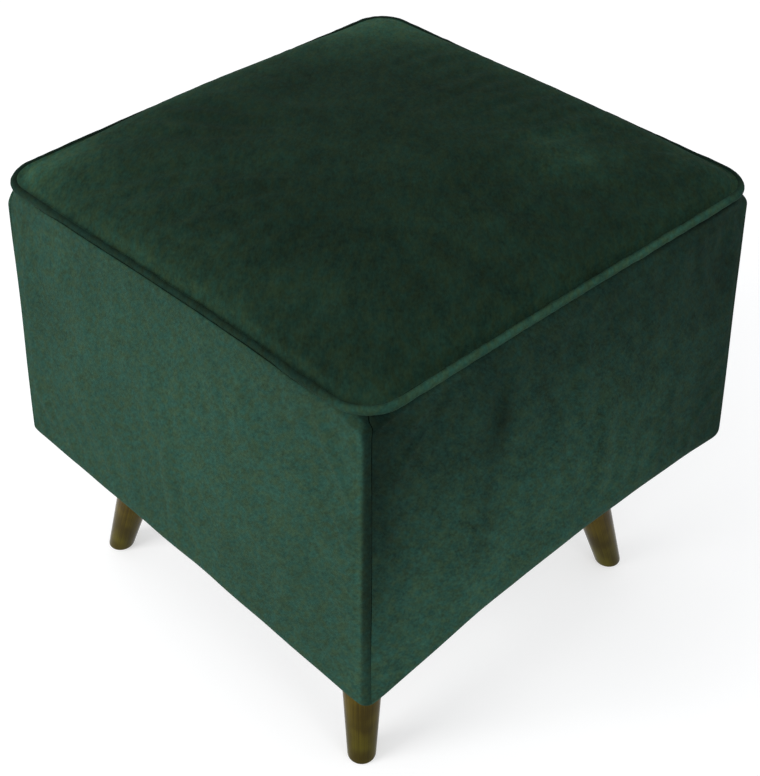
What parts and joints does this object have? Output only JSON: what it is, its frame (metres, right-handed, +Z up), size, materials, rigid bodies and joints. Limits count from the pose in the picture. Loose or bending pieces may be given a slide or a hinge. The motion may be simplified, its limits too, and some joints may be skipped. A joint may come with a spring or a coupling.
{
  "type": "cube pouf stool",
  "caption": "Upholstered velvet cube stool with a crowned padded top, piped edge, padded sides and splayed tapered wooden legs.",
  "frame": {"origin": "on the floor, under the middle of the upholstered box", "axes": "+Z up; +X and -Y square to the two side panels that meet at the front corner"},
  "size_m": [0.442, 0.442, 0.4429],
  "materials": {
    "velvet": "brushed short-pile velvet, deep green",
    "velvet_piping": "the same velvet over a cord",
    "base_cloth": "black non-woven dust cover",
    "lacquered_wood": "dark stain under glossy lacquer"
  },
  "bodies": {
    "root": {"top_panel": "velvet", "piping": "velvet_piping", "side_front": "velvet", "side_right": "velvet", "side_back": "velvet", "side_left": "velvet", "base_panel": "base_cloth", "leg_front": "lacquered_wood", "leg_right": "lacquered_wood", "leg_back": "lacquered_wood", "leg_left": "lacquered_wood"}
  },
  "joints": []
}
